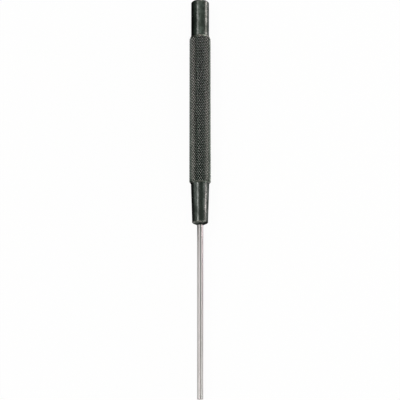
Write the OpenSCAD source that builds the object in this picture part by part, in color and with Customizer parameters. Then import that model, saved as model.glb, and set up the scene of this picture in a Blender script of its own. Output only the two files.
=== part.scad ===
// Long pin punch: a blackened steel body with a diamond-knurled grip, and a bright drive pin
// that is driven into a slow taper in its nose. It lies on its grip along Y, head towards +Y,
// with the origin on the bench below its middle.

/* [Striking head] */
// Diameter of the smooth head that takes the hammer
head_d = 9; // [7:0.1:9.6]
// Length of the head, from its flat end to the grip
head_length = 18.4; // [8:0.1:40]
// Chamfer round the flat end of the head
head_chamfer = 0.7; // [0.2:0.1:2]

/* [Knurled grip] */
// Diameter over the crests of the knurl
grip_d = 10.8; // [10.2:0.1:14]
// Length of the grip, with the bevels at both its ends
grip_length = 75.9; // [40:0.1:84]
// Length of the bevel that leads up from the head to the full knurl
grip_head_bevel = 1.7; // [0.4:0.1:4]
// Length of the bevel that leads down from the full knurl to the nose
grip_nose_bevel = 1.2; // [0.4:0.1:4]
// Height of the small square step at the foot of each bevel
grip_step = 0.1; // [0.05:0.01:0.2]
// Grooves of each hand, counted round the grip
knurl_starts = 32; // [16:1:34]
// Distance from one diamond to the next along the grip, rounded to fill it with whole rows
knurl_pitch = 1.64; // [1.6:0.02:4]
// Depth of the grooves below the crests, 0.44 for grooves of 90 degrees
knurl_depth = 0.44; // [0.1:0.02:0.5]

/* [Nose] */
// Diameter of the nose where it leaves the grip
nose_root_d = 9.1; // [7.9:0.1:9.6]
// Diameter of the nose at its free end, before its edge is broken
nose_end_d = 7.9; // [5:0.1:9.1]
// Length of the tapered nose, from the grip to its broken edge
nose_length = 19.4; // [17:0.1:40]
// Chamfer that breaks the edge between the nose and its end face
nose_edge = 0.4; // [0.1:0.1:0.8]
// Slope of the nose's end face, in degrees away from square
nose_face_slope = 23; // [5:1:45]

/* [Drive pin] */
// Diameter of the pin
pin_d = 3; // [1.5:0.1:4.5]
// Free length of the pin, from its tip to the nose
pin_reach = 85; // [20:1:120]
// Edge break round the tip
tip_edge = 0.2; // [0.05:0.05:0.5]

/* [Pin seat] */
// Depth of the tapered seat inside the nose
seat_depth = 15; // [8:0.5:18]
// Length along which the seat loses one unit of diameter, 50 for a self-holding taper of 1 in 50
seat_taper = 50; // [30:1:100]
// Radial room between pin and seat, none for a driven fit
seat_clearance = 0; // [0:0.005:0.05]
// Chamfer round the butt of the pin
butt_chamfer = 0.3; // [0.1:0.05:0.5]
// Depth of the drilled hole past the butt of the pin
pilot_depth = 1; // [0.5:0.1:3]
// Included angle of the drill point at the bottom of the hole
drill_point = 118; // [90:1:140]

/* [Hidden] */
$fn = 128;

// Radii of the turned surfaces
head_r = head_d / 2;
crest_r = grip_d / 2;
valley_r = crest_r - knurl_depth;
nose_root_r = nose_root_d / 2;
nose_end_r = nose_end_d / 2;
pin_r = pin_d / 2;
butt_r = pin_r - seat_depth / seat_taper / 2;
mouth_r = pin_r + seat_clearance;
pilot_r = butt_r + seat_clearance;

// The broken edge takes at most half of the wall round the mouth of the seat
edge_break = min(nose_edge, (nose_end_r - mouth_r) / 2);
nose_face_r = nose_end_r - edge_break;

// Stations along the axis, measured from the tip towards the head
mouth_z = pin_reach;
nose_face_z = mouth_z + (nose_face_r - mouth_r) * tan(nose_face_slope);
nose_end_z = nose_face_z + edge_break;
nose_root_z = nose_end_z + nose_length;
head_root_z = nose_root_z + grip_length;
overall_length = head_root_z + head_length;
butt_z = mouth_z + seat_depth;
pilot_z = butt_z + pilot_depth;
drill_z = pilot_z + pilot_r / tan(drill_point / 2);

// The turned core runs on under the knurl from both ends, by the shorter bevel
core_run = min(grip_head_bevel, grip_nose_bevel);
nose_growth = (nose_root_r - nose_end_r) / nose_length;

// The knurl is a lattice of points, two columns to a groove and two rows to a pitch
columns = 2 * knurl_starts;
column_angle = 360 / columns;
knurl_length = grip_length - grip_head_bevel - grip_nose_bevel;
rows = round(2 * knurl_length / knurl_pitch);
row_height = knurl_length / rows;
bands = rows + 2;

// A ring of the lattice whose even and odd points stand on two radii
function ring(even_r, odd_r, z) = [
    for (i = [0 : columns - 1])
        let (r = i % 2 == 0 ? even_r : odd_r)
            [r * cos(i * column_angle), r * sin(i * column_angle), z]
];

// A row of the full knurl, where crests and groove crossings take turns and change places row by row
function knurl_row(k) = let (z = nose_root_z + grip_nose_bevel + k * row_height)
    k % 2 == 0 ? ring(crest_r, valley_r, z) : ring(valley_r, crest_r, z);

// Place of a lattice point in the list, counted round and then up
function spot(i, j) = j * columns + i % columns;

// The four-sided cell above and right of a lattice point, creased along its groove
function cell(i, j) = let (
    a = spot(i, j),
    b = spot(i + 1, j),
    c = spot(i + 1, j + 1),
    d = spot(i, j + 1)
) (i + j) % 2 == 0 ? [[a, c, b], [a, d, c]] : [[a, d, b], [b, d, c]];

// Lays a piece that was turned about Z down on the bench, tip towards -Y
module laid_down() {
    translate([0, -overall_length / 2, crest_r])
        rotate([-90, 0, 0])
            children();
}

// Diamond knurl: two hands of V grooves that cross and leave four-sided pyramids
module diamond_knurl() {
    foot_ring = ring(nose_root_r + grip_step, nose_root_r + grip_step, nose_root_z);
    top_ring = ring(head_r + grip_step, head_r + grip_step, head_root_z);
    knurl_points = concat(foot_ring, [for (k = [0 : rows]) each knurl_row(k)], top_ring);
    knurl_faces = concat(
        [[for (i = [0 : columns - 1]) spot(i, 0)]],
        [for (j = [0 : bands - 1], i = [0 : columns - 1]) each cell(i, j)],
        [[for (i = [columns - 1 : -1 : 0]) spot(i, bands)]]
    );
    polyhedron(points = knurl_points, faces = knurl_faces);
}

// Head, core and nose turned in one piece, with the blind seat for the pin bored from the nose
module turned_core() {
    rotate_extrude()
        polygon([
            [mouth_r, mouth_z],
            [nose_face_r, nose_face_z],
            [nose_end_r, nose_end_z],
            [nose_root_r + core_run * nose_growth, nose_root_z + core_run],
            [head_r, head_root_z - core_run],
            [head_r, overall_length - head_chamfer],
            [head_r - head_chamfer, overall_length],
            [0, overall_length],
            [0, drill_z],
            [pilot_r, pilot_z],
            [pilot_r, butt_z],
        ]);
}

// One piece of blackened steel: striking head, knurled grip and tapered nose
module knurled_body() {
    color("#3a3f3b")
        laid_down()
            union() {
                turned_core();
                diamond_knurl();
            }
}

// Ground rod of hardened steel, parallel where it is free and tapered where it is seated
module drive_pin() {
    color("#c8c4c0")
        laid_down()
            rotate_extrude()
                polygon([
                    [0, 0],
                    [pin_r - tip_edge, 0],
                    [pin_r, tip_edge],
                    [pin_r, mouth_z],
                    [butt_r + butt_chamfer / seat_taper / 2, butt_z - butt_chamfer],
                    [butt_r - butt_chamfer, butt_z],
                    [0, butt_z],
                ]);
}

knurled_body();
drive_pin();
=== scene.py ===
"""Long pin punch on a white bench: a blackened, diamond-knurled body with a bright drive pin.

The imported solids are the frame. The punch's own sizes are in millimetres, with every station
measured along it from its tip. The bench, the lamps and the camera are placed in metres.
"""
import math

import bpy
import numpy as np
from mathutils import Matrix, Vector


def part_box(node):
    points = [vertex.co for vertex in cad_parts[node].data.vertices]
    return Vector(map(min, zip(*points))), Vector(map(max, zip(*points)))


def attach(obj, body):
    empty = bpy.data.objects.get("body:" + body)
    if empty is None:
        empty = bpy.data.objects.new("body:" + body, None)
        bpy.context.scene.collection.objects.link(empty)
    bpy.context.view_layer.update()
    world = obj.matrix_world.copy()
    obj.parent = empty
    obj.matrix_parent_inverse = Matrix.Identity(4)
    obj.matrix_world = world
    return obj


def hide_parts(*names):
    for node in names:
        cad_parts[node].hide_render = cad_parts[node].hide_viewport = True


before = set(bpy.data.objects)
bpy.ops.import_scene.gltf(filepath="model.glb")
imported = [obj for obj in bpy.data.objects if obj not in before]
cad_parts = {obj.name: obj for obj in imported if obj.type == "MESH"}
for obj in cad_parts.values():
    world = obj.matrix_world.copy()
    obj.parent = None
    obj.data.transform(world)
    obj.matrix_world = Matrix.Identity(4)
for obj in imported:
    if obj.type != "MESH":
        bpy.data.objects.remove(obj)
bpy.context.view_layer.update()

# Body. One bar of tool steel, turned to a striking head, a grip and a tapered nose, then rolled
# between two knurling wheels and blackened in a hot oxide bath. The pin's seat is bored from the
# nose with a slow taper.
MM = 0.001
HEAD_R = 4.5
HEAD_LENGTH = 18.4
HEAD_CHAMFER = 0.7
CREST_R = 5.4
GRIP_LENGTH = 75.9
GRIP_HEAD_BEVEL = 1.7
GRIP_NOSE_BEVEL = 1.2
GRIP_STEP = 0.1
KNURL_STARTS = 32
KNURL_PITCH = 1.64
KNURL_DEPTH = 0.44
NOSE_ROOT_R = 4.55
NOSE_END_R = 3.95
NOSE_LENGTH = 19.4
NOSE_EDGE = 0.4
PIN_R = 1.5
SEAT_DEPTH = 15.0
SEAT_TAPER = 50
PILOT_DEPTH = 1.0
DRILL_POINT = math.radians(118)

# Stations and radii that follow from these sizes and from where the solids lie
body_low, body_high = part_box("knurled_body")
pin_low, pin_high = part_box("drive_pin")
tip_y = pin_low.y
axis_z = (pin_low.z + pin_high.z) / 2
OVERALL = (body_high.y - tip_y) / MM
HEAD_ROOT = OVERALL - HEAD_LENGTH
NOSE_ROOT = HEAD_ROOT - GRIP_LENGTH
NOSE_END = NOSE_ROOT - NOSE_LENGTH
NOSE_FACE = NOSE_END - NOSE_EDGE
NOSE_FACE_R = NOSE_END_R - NOSE_EDGE
MOUTH = (body_low.y - tip_y) / MM
BUTT = MOUTH + SEAT_DEPTH
BUTT_R = PIN_R - SEAT_DEPTH / SEAT_TAPER / 2
PILOT = BUTT + PILOT_DEPTH
DRILL_END = PILOT + BUTT_R / math.tan(DRILL_POINT / 2)


def eased(corners, steps=5):
    """Profile through the corners, each one rounded: between the points that lie one trim before and
    after a corner C, A and B, it follows the parabola (1-s)^2 A + 2 s (1-s) C + s^2 B. A row holds
    a station, a radius, the share of bare metal and the trim. The first and last rows only give the
    directions in which the profile starts and ends, and are left out."""
    corners = np.asarray(corners, float)
    trims = corners[1:-1, 3:]
    corners = corners[:, :3]
    away = np.diff(corners, axis=0)
    away /= np.linalg.norm(away[:, :2], axis=1, keepdims=True)
    middle = corners[1:-1]
    before = middle - away[:-1] * trims
    after = middle + away[1:] * trims
    s = np.linspace(0, 1, steps)[None, :, None]
    curve = (1 - s) ** 2 * before[:, None] + 2 * s * (1 - s) * middle[:, None] + s**2 * after[:, None]
    return curve.reshape(-1, corners.shape[1])


def laid_down(station, radius, columns):
    """Points of rings about the punch's axis: x = r cos a, y = tip + station, z = axis + r sin a,
    with the angle a spread evenly over the columns."""
    angle = np.arange(columns) * (2 * np.pi / columns)
    station = np.broadcast_to(station, radius.shape)
    x = radius * np.cos(angle) * MM
    y = tip_y + station * MM
    z = axis_z + radius * np.sin(angle) * MM
    return np.stack([x, y, z], axis=-1)


def turned(name, points, poles, creased):
    """Closed mesh from rings of points that run from the head's side to the tip's side. Each cell
    between two rings is two triangles, split along one diagonal or, where creased, along the other,
    and a fan closes each end on its pole. Edges that turn by more than the sharp angle stay sharp."""
    sharp_angle = math.radians(32)
    rings, columns = points.shape[:2]
    ring, column = np.meshgrid(np.arange(rings - 1), np.arange(columns), indexing="ij")
    beside = (column + 1) % columns
    a = ring * columns + column
    b = ring * columns + beside
    c = (ring + 1) * columns + beside
    d = (ring + 1) * columns + column
    first = np.where(creased[..., None], np.stack([a, b, c], -1), np.stack([a, b, d], -1))
    second = np.where(creased[..., None], np.stack([a, c, d], -1), np.stack([b, c, d], -1))
    around = np.arange(columns)
    onward = (around + 1) % columns
    last = (rings - 1) * columns
    top = rings * columns
    start_fan = np.stack([np.full(columns, top), onward, around], -1)
    end_fan = np.stack([last + around, last + onward, np.full(columns, top + 1)], -1)
    triangles = np.concatenate([first.reshape(-1, 3), second.reshape(-1, 3), start_fan, end_fan])
    vertices = np.concatenate([points.reshape(-1, 3), poles])
    mesh = bpy.data.meshes.new(name)
    mesh.from_pydata(vertices.tolist(), [], triangles.tolist())
    mesh.shade_smooth()
    mesh.set_sharp_from_angle(angle=sharp_angle)
    piece = bpy.data.objects.new(name, mesh)
    bpy.context.scene.collection.objects.link(piece)
    return piece


def mark(piece, name, values):
    """Writes one number per vertex under a name that the material reads."""
    layer = piece.data.attributes.new(name, "FLOAT", "POINT")
    layer.data.foreach_set("value", np.ascontiguousarray(values, np.float32).ravel())


# Turned head, from the middle of its struck face to the foot of the grip. The hammer has rubbed the
# face, and the rim of the chamfer more
FACE_WEAR = 0.2
RIM_WEAR = 0.7
CHAMFER_WEAR = 0.6
HEAD_WEAR_REACH = 2.5 * HEAD_CHAMFER
HEAD_ROUND = 0.25
WEAR_FADE = 0.2
FOOT_ROUND = 0.06
head = eased([
    (OVERALL, 0, FACE_WEAR, 0),
    (OVERALL, HEAD_R - HEAD_CHAMFER, RIM_WEAR, HEAD_ROUND),
    (OVERALL - HEAD_CHAMFER, HEAD_R, CHAMFER_WEAR, HEAD_ROUND),
    (OVERALL - HEAD_WEAR_REACH, HEAD_R, 0, WEAR_FADE),
    (HEAD_ROOT, HEAD_R, 0, FOOT_ROUND),
    (HEAD_ROOT, HEAD_R + GRIP_STEP, 0, 0),
])

# Turned nose, from the foot of the grip round its edge, and down the bore to the drill's point. A
# narrow land above the edge and a band of the end face below it are rubbed with the edge
NOSE_WEAR = 0.9
LAND_LENGTH = 0.9
LAND_ROUND = 0.3
BAND_WIDTH = 0.6
BAND_FALL = 0.25
NOSE_ROUND = 0.2
MOUTH_ROUND = 0.04
SEAT_ROUND = 0.1
nose = eased([
    (NOSE_ROOT, NOSE_ROOT_R + GRIP_STEP, 0, 0),
    (NOSE_ROOT, NOSE_ROOT_R, 0, FOOT_ROUND),
    (NOSE_END + LAND_LENGTH, NOSE_END_R, 0, LAND_ROUND),
    (NOSE_END, NOSE_END_R, NOSE_WEAR, NOSE_ROUND),
    (NOSE_FACE, NOSE_FACE_R, NOSE_WEAR, NOSE_ROUND),
    (NOSE_FACE - BAND_FALL, NOSE_FACE_R - BAND_WIDTH, 0, NOSE_ROUND),
    (MOUTH, PIN_R, 0, MOUTH_ROUND),
    (BUTT, BUTT_R, 0, SEAT_ROUND),
    (PILOT, BUTT_R, 0, SEAT_ROUND),
    (DRILL_END, 0, 0, 0),
])

# Diamond knurl: two hands of grooves cross, and each point is as high as the nearer groove lets it.
# The bevels at both ends cut the diamonds off. The mesh climbs a flank in a few steps
FLANK_STEPS = 3
NOSE_BEVEL_ROWS = 4
HEAD_BEVEL_ROWS = 6
half_rows = round(2 * (GRIP_LENGTH - GRIP_HEAD_BEVEL - GRIP_NOSE_BEVEL) / KNURL_PITCH)
knurl_rows = half_rows * FLANK_STEPS
body_columns = 2 * KNURL_STARTS * FLANK_STEPS
row = np.arange(knurl_rows + HEAD_BEVEL_ROWS, -NOSE_BEVEL_ROWS - 1, -1)
column = np.arange(body_columns)[None, :]
row_marks = [-NOSE_BEVEL_ROWS, 0, knurl_rows, knurl_rows + HEAD_BEVEL_ROWS]
station_marks = [NOSE_ROOT, NOSE_ROOT + GRIP_NOSE_BEVEL, HEAD_ROOT - GRIP_HEAD_BEVEL, HEAD_ROOT]
bevel_marks = [NOSE_ROOT_R + GRIP_STEP, CREST_R, CREST_R, HEAD_R + GRIP_STEP]
knurl_station = np.interp(row, row_marks, station_marks)[:, None]
bevel_r = np.interp(row, row_marks, bevel_marks)[:, None]


def ridge(turn):
    """Zigzag that is 1 at whole turns and 0 halfway between them."""
    return 1 - 2 * np.abs(turn - np.round(turn))


# A rolled flank bulges a little: its height at thirds of the way from the groove to the crest
FLANK_THIRDS = [0, 1 / 3, 2 / 3, 1]
ROLLED_HEIGHTS = [0, 0.36, 0.72, 1]
whole_turn = 2 * FLANK_STEPS
right_hand = ridge((column + row[:, None]) / whole_turn)
left_hand = ridge((column - row[:, None]) / whole_turn)
rolled = np.interp(np.minimum(right_hand, left_hand), FLANK_THIRDS, ROLLED_HEIGHTS)
knurl_r = np.minimum(CREST_R - KNURL_DEPTH * (1 - rolled), bevel_r)

body_station = np.concatenate([head[:, :1], knurl_station[1:-1], nose[:, :1]])
body_r = np.concatenate([
    np.repeat(head[:, 1:2], body_columns, axis=1),
    knurl_r[1:-1],
    np.repeat(nose[:, 1:2], body_columns, axis=1),
])
lattice = (column // FLANK_STEPS + row[1:, None] // FLANK_STEPS) % 2
creased = np.zeros((len(body_r) - 1, body_columns), bool)
creased[len(head) - 1 : len(head) - 1 + len(lattice)] = lattice == 0
body = turned(
    "blackened_body",
    laid_down(body_station, body_r, body_columns),
    [(0, tip_y + OVERALL * MM, axis_z), (0, tip_y + DRILL_END * MM, axis_z)],
    creased,
)


def over_body(on_head, on_knurl, on_nose):
    """One number per body vertex, from a column for the head, a grid for the knurl and a column for
    the nose, and then the two poles, which take their neighbours' numbers."""
    whole = np.concatenate([
        np.broadcast_to(on_head, (len(head), body_columns)),
        np.broadcast_to(on_knurl, (len(row), body_columns))[1:-1],
        np.broadcast_to(on_nose, (len(nose), body_columns)),
    ])
    return np.concatenate([whole.ravel(), whole[0, :1], whole[-1, :1]])


BEVEL_WEAR = 1.25
cut_by_bevel = (knurl_r == bevel_r) & (bevel_r < CREST_R)
mark(body, "bare_metal", over_body(head[:, 2:3], BEVEL_WEAR * cut_by_bevel, nose[:, 2:3]))
mark(body, "groove", over_body(0, (CREST_R - knurl_r) / KNURL_DEPTH, 0))
mark(body, "knurled", over_body(0, ~cut_by_bevel, 0))
mark(body, "struck", over_body(1, 0, 0))


def tint(code):
    """Linear colour of an sRGB hex code: ((c + 0.055) / 1.055)^2.4 above the toe, c / 12.92 in it."""
    c = np.array([int(code[i : i + 2], 16) for i in (1, 3, 5)]) / 255
    linear = np.where(c > 0.04045, ((c + 0.055) / 1.055) ** 2.4, c / 12.92)
    return (*linear.tolist(), 1.0)


def put(tree, kind, inputs=None, **settings):
    """Adds one node with its settings. Each input takes a value, or a link from another node's output."""
    made = tree.nodes.new(kind)
    for key, value in settings.items():
        setattr(made, key, value)
    for key, value in (inputs or {}).items():
        if isinstance(value, bpy.types.NodeSocket):
            tree.links.new(value, made.inputs[key])
        else:
            made.inputs[key].default_value = value
    return made


# Hot black oxide on turned steel: a thin grey-green black film that keeps the metal's shine. The bath
# leaves it mottled along the bar, hammering scuffs the head, and the edges are rubbed through to grey
# steel. The knurl is duller. Its pale crests and dark grooves are partly wear and soot, and partly painted
# glints on the crests and painted shade in the grooves. Both grow stronger towards the head end.
# The film's own grain is finer than a tenth of a millimetre, and is drawn coarser so that it shows.
MOTTLE = 2.6
MOTTLE_STRETCH = 2
SCUFF = 1.8
GRAIN = 0.45
GRAIN_HEIGHT = 0.02
HEADWARD_FROM = 120.0
HEADWARD_FULLY = 146.0
KNURL_DULLING = 0.05
oxide = bpy.data.materials.new("black_oxide_on_turned_steel")
oxide.use_nodes = True
tree = oxide.node_tree
tree.nodes.clear()
place = put(tree, "ShaderNodeTexCoord").outputs["Object"]
lengthwise = put(
    tree, "ShaderNodeMapping", {"Vector": place, "Scale": (1, 1 / MOTTLE_STRETCH, 1)}
).outputs["Vector"]
mottle = put(
    tree, "ShaderNodeTexNoise",
    {"Vector": lengthwise, "Scale": 1 / (MOTTLE * MM), "Detail": 4, "Roughness": 0.55},
).outputs["Fac"]
scuff = put(
    tree, "ShaderNodeTexNoise", {"Vector": place, "Scale": 1 / (SCUFF * MM), "Detail": 2}
).outputs["Fac"]
grain = put(
    tree, "ShaderNodeTexNoise",
    {"Vector": place, "Scale": 1 / (GRAIN * MM), "Detail": 3, "Roughness": 0.6},
).outputs["Fac"]
groove = put(tree, "ShaderNodeAttribute", attribute_name="groove").outputs["Fac"]
knurled = put(tree, "ShaderNodeAttribute", attribute_name="knurled").outputs["Fac"]
bare = put(tree, "ShaderNodeAttribute", attribute_name="bare_metal").outputs["Fac"]
struck = put(tree, "ShaderNodeAttribute", attribute_name="struck").outputs["Fac"]
clouded = put(
    tree, "ShaderNodeMapRange", {"Value": mottle, "From Min": 0.38, "From Max": 0.62}
).outputs["Result"]
film = put(
    tree, "ShaderNodeMix", {"Factor": clouded, "A": tint("#424743"), "B": tint("#666b67")}, data_type="RGBA"
).outputs["Result"]
scuffs = put(
    tree, "ShaderNodeMapRange", {"Value": scuff, "From Min": 0.48, "From Max": 0.62, "To Max": 0.55}
).outputs["Result"]
hammered = put(tree, "ShaderNodeMath", {0: scuffs, 1: struck}, operation="MULTIPLY").outputs[0]
scuffed = put(
    tree, "ShaderNodeMix", {"Factor": hammered, "A": film, "B": tint("#30352f")}, data_type="RGBA"
).outputs["Result"]
# Crests paler and grooves darker, more so towards the head end: partly wear and soot, partly painted glints
# on the crests and painted shade in the grooves
along = put(tree, "ShaderNodeSeparateXYZ", {0: place}).outputs["Y"]
toward_head_end = put(
    tree, "ShaderNodeMapRange",
    {"Value": along, "From Min": tip_y + HEADWARD_FROM * MM, "From Max": tip_y + HEADWARD_FULLY * MM},
).outputs["Result"]
crest = put(
    tree, "ShaderNodeMix", {"Factor": toward_head_end, "A": tint("#979a96"), "B": tint("#b1b4b0")}, data_type="RGBA"
).outputs["Result"]
soot_and_shade = put(
    tree, "ShaderNodeMix", {"Factor": toward_head_end, "A": tint("#373d38"), "B": tint("#131915")}, data_type="RGBA"
).outputs["Result"]
soot_and_shade_line = put(tree, "ShaderNodeMapRange", {"Value": toward_head_end, "To Min": 0.5, "To Max": 0.455}).outputs["Result"]
sunk = put(
    tree, "ShaderNodeMapRange", {"Value": groove, "From Min": 0.3, "From Max": soot_and_shade_line}
).outputs["Result"]
diamonds = put(
    tree, "ShaderNodeMix", {"Factor": sunk, "A": crest, "B": soot_and_shade}, data_type="RGBA"
).outputs["Result"]
blackened = put(
    tree, "ShaderNodeMix", {"Factor": knurled, "A": scuffed, "B": diamonds}, data_type="RGBA"
).outputs["Result"]
wear = put(tree, "ShaderNodeMath", {0: bare, 1: mottle}, operation="MULTIPLY").outputs[0]
rubbed = put(
    tree, "ShaderNodeMapRange", {"Value": wear, "From Min": 0.2, "From Max": 0.55, "To Max": 0.6}
).outputs["Result"]
skin = put(
    tree, "ShaderNodeMix", {"Factor": rubbed, "A": blackened, "B": tint("#a3a09a")}, data_type="RGBA"
).outputs["Result"]
shine = put(
    tree, "ShaderNodeMapRange",
    {"Value": mottle, "From Min": 0.35, "From Max": 0.65, "To Min": 0.32, "To Max": 0.24},
).outputs["Result"]
dulled = put(
    tree, "ShaderNodeMath", {0: knurled, 1: KNURL_DULLING, 2: shine}, operation="MULTIPLY_ADD"
).outputs[0]
bump = put(
    tree, "ShaderNodeBump", {"Height": grain, "Strength": 0.12, "Distance": GRAIN_HEIGHT * MM}
).outputs["Normal"]
surface = put(
    tree, "ShaderNodeBsdfPrincipled",
    {"Base Color": skin, "Roughness": dulled, "Normal": bump, "Metallic": 1.0,
     "Specular Tint": tint("#b0b0b0")},
).outputs["BSDF"]
put(tree, "ShaderNodeOutputMaterial", {"Surface": surface})
body.data.materials.append(oxide)
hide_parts("knurled_body")
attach(body, "root")

# Drive pin. A rod of hardened steel, centreless ground bright, with a broken edge at its flat tip.
# Its upper end tapers by 1 in 50 and is driven into the nose.
PIN_COLUMNS = 96
TIP_EDGE = 0.2
TIP_ROUND = 0.08
TAPER_ROUND = 0.05
BUTT_CHAMFER = 0.3
BUTT_ROUND = 0.06
rod = eased([
    (BUTT, 0, 0, 0),
    (BUTT, BUTT_R - BUTT_CHAMFER, 0, BUTT_ROUND),
    (BUTT - BUTT_CHAMFER, BUTT_R, 0, BUTT_ROUND),
    (MOUTH, PIN_R, 0, TAPER_ROUND),
    (TIP_EDGE, PIN_R, 0, TIP_ROUND),
    (0, PIN_R - TIP_EDGE, 0, TIP_ROUND),
    (0, 0, 0, 0),
])
pin_r = np.repeat(rod[:, 1:2], PIN_COLUMNS, axis=1)
pin = turned(
    "bright_pin",
    laid_down(rod[:, :1], pin_r, PIN_COLUMNS),
    [(0, tip_y + BUTT * MM, axis_z), (0, tip_y, axis_z)],
    np.zeros((len(rod) - 1, PIN_COLUMNS), bool),
)

# Ground tool steel: a bright, slightly warm grey with faint lengthwise streaks from drawing, and
# drier and oilier patches. Towards the nose its colour is darkened: painted shade, for the shadow and
# dark reflections that the nose gives the pin. Real streaks are hundredths of a millimetre wide, and are
# drawn coarser so that they show.
STREAK = 0.5
STREAK_STRETCH = 50
STREAK_HEIGHT = 0.02
PATCH = 6.0
NOSE_SHADE_FROM = 62.0
steel = bpy.data.materials.new("bright_ground_steel")
steel.use_nodes = True
tree = steel.node_tree
tree.nodes.clear()
place = put(tree, "ShaderNodeTexCoord").outputs["Object"]
drawn = put(
    tree, "ShaderNodeMapping", {"Vector": place, "Scale": (1, 1 / STREAK_STRETCH, 1)}
).outputs["Vector"]
streak = put(
    tree, "ShaderNodeTexNoise",
    {"Vector": drawn, "Scale": 1 / (STREAK * MM), "Detail": 3, "Roughness": 0.6},
).outputs["Fac"]
patch = put(
    tree, "ShaderNodeTexNoise", {"Vector": place, "Scale": 1 / (PATCH * MM), "Detail": 3}
).outputs["Fac"]
streaked = put(
    tree, "ShaderNodeMapRange", {"Value": streak, "From Min": 0.3, "From Max": 0.7}
).outputs["Result"]
bright = put(
    tree, "ShaderNodeMix", {"Factor": streaked, "A": tint("#b5b1b0"), "B": tint("#c8c4c3")}, data_type="RGBA"
).outputs["Result"]
along = put(tree, "ShaderNodeSeparateXYZ", {0: place}).outputs["Y"]
# Painted shade: the pin's colour darkens towards the nose, for the nose's shadow and darker reflections there
near_nose = put(
    tree, "ShaderNodeMapRange",
    {"Value": along, "From Min": tip_y + NOSE_SHADE_FROM * MM, "From Max": tip_y + MOUTH * MM, "To Max": 0.4},
).outputs["Result"]
nose_shaded = put(
    tree, "ShaderNodeMix", {"Factor": near_nose, "A": bright, "B": tint("#898685")}, data_type="RGBA"
).outputs["Result"]
gloss = put(
    tree, "ShaderNodeMapRange",
    {"Value": patch, "From Min": 0.3, "From Max": 0.7, "To Min": 0.3, "To Max": 0.4},
).outputs["Result"]
bump = put(
    tree, "ShaderNodeBump", {"Height": streak, "Strength": 0.05, "Distance": STREAK_HEIGHT * MM}
).outputs["Normal"]
surface = put(
    tree, "ShaderNodeBsdfPrincipled",
    {"Base Color": nose_shaded, "Roughness": gloss, "Normal": bump, "Metallic": 1.0},
).outputs["BSDF"]
put(tree, "ShaderNodeOutputMaterial", {"Surface": surface})
pin.data.materials.append(steel)
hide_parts("drive_pin")
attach(pin, "root")

# Bench. A wide sheet of matt white that the punch lies on. The camera sees it glow white, and its matt
# part keeps the punch's shadow. In the metal its mirror image is white too, but dimmed to the left of
# the body and to the right of the upper pin: a painted dark reflection, like that of black cards beside them.
BENCH_HALF = 10.0
GLOW_SHARE = 0.95
SIDE_BLEND = 6.0
LEFT_DIMS_FROM = 80.0
LEFT_DIM = 88.0
LEFT_LEVEL = 0.06
RIGHT_DIMS_FROM = 15.0
RIGHT_DIM = 60.0
RIGHT_LEVEL = 0.08
RIGHT_CLEARS_FROM = 84.0
RIGHT_CLEAR = 90.0
bench_mesh = bpy.data.meshes.new("bench")
bench_corners = [(x * BENCH_HALF, y * BENCH_HALF, 0) for x, y in ((-1, -1), (1, -1), (1, 1), (-1, 1))]
bench_mesh.from_pydata(bench_corners, [], [(0, 1, 2, 3)])
bench = bpy.data.objects.new("bench", bench_mesh)
bpy.context.scene.collection.objects.link(bench)
white = bpy.data.materials.new("matt_white_sheet")
white.use_nodes = True
tree = white.node_tree
tree.nodes.clear()
path = put(tree, "ShaderNodeLightPath").outputs
seen = put(tree, "ShaderNodeMath", {0: path["Is Camera Ray"], 1: GLOW_SHARE}, operation="MULTIPLY").outputs[0]
seen = put(tree, "ShaderNodeMath", {0: seen, 1: path["Is Glossy Ray"]}, operation="ADD").outputs[0]
seen = put(
    tree, "ShaderNodeMath", {0: seen, 1: path["Is Transmission Ray"]}, operation="ADD", use_clamp=True
).outputs[0]
place = put(tree, "ShaderNodeTexCoord").outputs["Object"]
spot = put(tree, "ShaderNodeSeparateXYZ", {0: place}).outputs
# Painted dark reflection: the glow that the metal mirrors is dimmed left of the body and right of the upper
# pin
to_right = put(
    tree, "ShaderNodeMapRange",
    {"Value": spot["X"], "From Min": -SIDE_BLEND * MM, "From Max": SIDE_BLEND * MM},
).outputs["Result"]
left_mirror = put(
    tree, "ShaderNodeMapRange",
    {"Value": spot["Y"], "From Min": tip_y + LEFT_DIMS_FROM * MM, "From Max": tip_y + LEFT_DIM * MM,
     "To Min": 1, "To Max": LEFT_LEVEL},
).outputs["Result"]
beside_pin = put(
    tree, "ShaderNodeMapRange",
    {"Value": spot["Y"], "From Min": tip_y + RIGHT_DIMS_FROM * MM, "From Max": tip_y + RIGHT_DIM * MM,
     "To Min": 1, "To Max": RIGHT_LEVEL},
).outputs["Result"]
beside_body = put(
    tree, "ShaderNodeMapRange",
    {"Value": spot["Y"], "From Min": tip_y + RIGHT_CLEARS_FROM * MM, "From Max": tip_y + RIGHT_CLEAR * MM},
).outputs["Result"]
right_mirror = put(tree, "ShaderNodeMath", {0: beside_pin, 1: beside_body}, operation="MAXIMUM").outputs[0]
mirrored = put(
    tree, "ShaderNodeMix", {"Factor": to_right, "A": left_mirror, "B": right_mirror}, data_type="FLOAT"
).outputs["Result"]
strength = put(
    tree, "ShaderNodeMix", {"Factor": path["Is Glossy Ray"], "A": 1.0, "B": mirrored}, data_type="FLOAT"
).outputs["Result"]
glow = put(tree, "ShaderNodeEmission", {"Color": tint("#ffffff"), "Strength": strength}).outputs["Emission"]
matt = put(tree, "ShaderNodeBsdfDiffuse", {"Color": tint("#f4f4f4")}).outputs["BSDF"]
both = put(tree, "ShaderNodeMixShader", {0: seen, 1: matt, 2: glow}).outputs["Shader"]
put(tree, "ShaderNodeOutputMaterial", {"Surface": both})
bench_mesh.materials.append(white)

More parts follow.
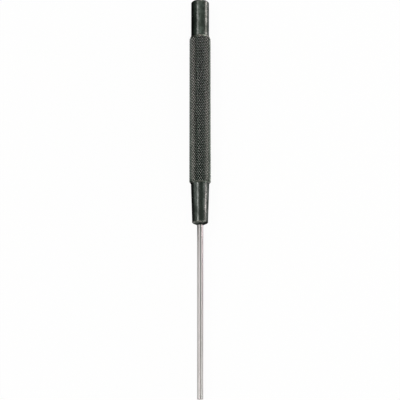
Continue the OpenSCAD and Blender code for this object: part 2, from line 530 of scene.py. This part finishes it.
# Studio light. Soft boxes hang round the punch, each for one band that its metal mirrors. A strip runs
# along its left, a wide dim pair hangs above, and boxes past both ends reach the flanks of the diamonds.
# Two low boxes on the right draw the bright edge of body and nose, and two fills flank the pin.
STRIP_DISTANCE = 0.9
OVERHEAD_DISTANCE = 1.0
END_DISTANCE = 0.6
SIDE_DISTANCE = 0.45
WHOLE_LENGTH = (-0.35, 0.75)
HEAD_HALF = (0.27, 0.75)
PAST_HEAD = (0.6, 1.4)
PAST_TIP = (-0.5, -0.2)
ROOM_LIGHT = 0.15


def hang(name, degrees, distance, stretch, radiance, colour):
    """Area lamp that faces the punch's axis and spans two angles right of overhead, along the given
    stretch of the bench. Its power is radiance times pi times its area."""
    low, high = np.radians(degrees)
    turn = (low + high) / 2
    width = 2 * distance * math.tan((high - low) / 2)
    length = stretch[1] - stretch[0]
    lamp = bpy.data.lights.new(name, "AREA")
    lamp.shape = "RECTANGLE"
    lamp.size = width
    lamp.size_y = length
    lamp.energy = radiance * math.pi * width * length
    lamp.color = tint(colour)[:3]
    hung = bpy.data.objects.new(name, lamp)
    hung.location = (distance * math.sin(turn), sum(stretch) / 2, axis_z + distance * math.cos(turn))
    hung.rotation_euler = (0, turn, 0)
    hung.visible_camera = False
    bpy.context.scene.collection.objects.link(hung)


hang("left_strip", (-41, -24), STRIP_DISTANCE, WHOLE_LENGTH, 3.3, "#fff7fb")
hang("overhead_box", (-22, 8), OVERHEAD_DISTANCE, HEAD_HALF, 0.75, "#f4fff6")
hang("overhead_fill", (8, 66), OVERHEAD_DISTANCE, HEAD_HALF, 0.5, "#f4fff6")
for side, degrees, from_head, from_tip, colour in [
    ("box", (-26, 28), 2.8, 2.35, "#fff2f1"),
    ("right", (58, 90), 2.4, 2.0, "#f0fff4"),
    ("left", (-62, -40), 1.1, 0.9, "#f0fff4"),
]:
    hang(f"head_side_{side}", degrees, END_DISTANCE, PAST_HEAD, from_head, colour)
    hang(f"tip_side_{side}", degrees, END_DISTANCE, PAST_TIP, from_tip, colour)
hang("right_box", (77, 91), SIDE_DISTANCE, (0.12, 0.5), 9.0, "#ffedf0")
hang("nose_box", (68, 90), SIDE_DISTANCE, (0.038, 0.087), 11.0, "#ffeaf0")
hang("right_fill", (38, 70), SIDE_DISTANCE, (-0.2, 0.02), 1.55, "#ffffff")
hang("left_fill", (-80, -50), SIDE_DISTANCE, (-0.2, 0.035), 1.2, "#ffffff")
world = bpy.data.worlds.new("dim_room")
world.use_nodes = True
world.node_tree.nodes["Background"].inputs["Color"].default_value = tint("#dcffe8")
world.node_tree.nodes["Background"].inputs["Strength"].default_value = ROOM_LIGHT
bpy.context.scene.world = world

# Camera. Almost overhead, leaning a little towards the tip, with the head at the top of the picture.
# It aims a hair left of the axis, where the diamonds fall most evenly on the pixels.
CAMERA_TILT = math.radians(11.3)
CAMERA_DISTANCE = 0.704
AIM_STATION = 97.6
AIM_X = -0.06
HALF_VIEW = 0.140
SENSOR_WIDTH = 36
aim_y = tip_y + AIM_STATION * MM
lens = bpy.data.cameras.new("camera")
lens.sensor_width = SENSOR_WIDTH
lens.lens = SENSOR_WIDTH / 2 / HALF_VIEW
camera = bpy.data.objects.new("camera", lens)
camera.location = (
    AIM_X * MM,
    aim_y - CAMERA_DISTANCE * math.sin(CAMERA_TILT),
    axis_z + CAMERA_DISTANCE * math.cos(CAMERA_TILT),
)
camera.rotation_euler = (CAMERA_TILT, 0, 0)
bpy.context.scene.collection.objects.link(camera)
bpy.context.scene.camera = camera
bpy.context.scene.view_settings.view_transform = "Standard"

# The diamonds are only two pixels wide. The denoiser keeps them when its guides aren't smoothed first
bpy.context.scene.cycles.denoising_prefilter = "NONE"
